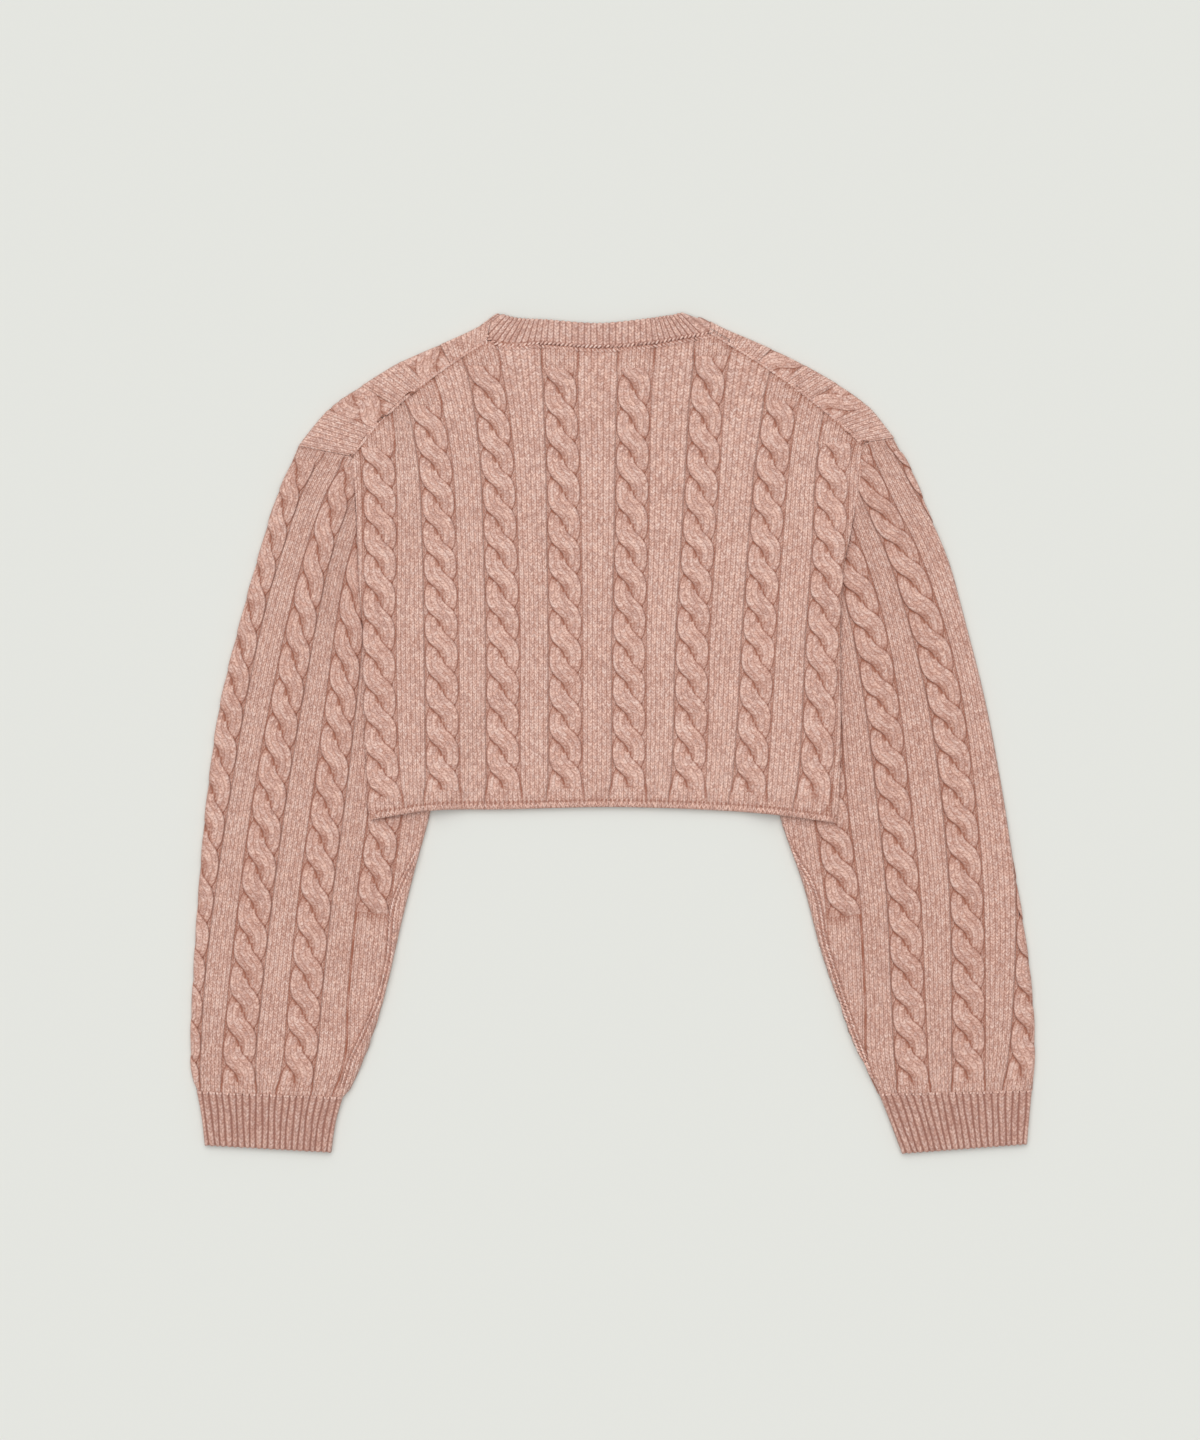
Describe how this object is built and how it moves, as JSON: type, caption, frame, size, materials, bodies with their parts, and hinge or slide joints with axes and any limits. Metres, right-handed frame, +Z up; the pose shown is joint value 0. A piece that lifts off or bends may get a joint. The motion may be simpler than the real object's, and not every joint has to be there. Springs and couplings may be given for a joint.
{
  "type": "cropped cable-knit sweater",
  "caption": "Cropped long-sleeved cable-knit sweater lying flat with its back up, sleeves folded down beside the body, ribbed cuffs and neckband.",
  "frame": {"origin": "centre of the garment's outline, on the surface it lies on", "axes": "+Z up from the surface, +Y from the hem to the neck, +X to the right seen from above"},
  "size_m": [0.7156, 0.7138, 0.0155],
  "materials": {
    "wool_knit": "heathered dusty pink wool, cable and stockinette knit",
    "wool_rib": "heathered dusty pink wool, one-by-one rib"
  },
  "bodies": {
    "root": {"back_panel": "wool_knit", "front_panel": "wool_knit", "sleeve_left": "wool_knit", "sleeve_right": "wool_knit", "cuff_left": "wool_rib", "cuff_right": "wool_rib", "neckband": "wool_rib"}
  },
  "joints": []
}
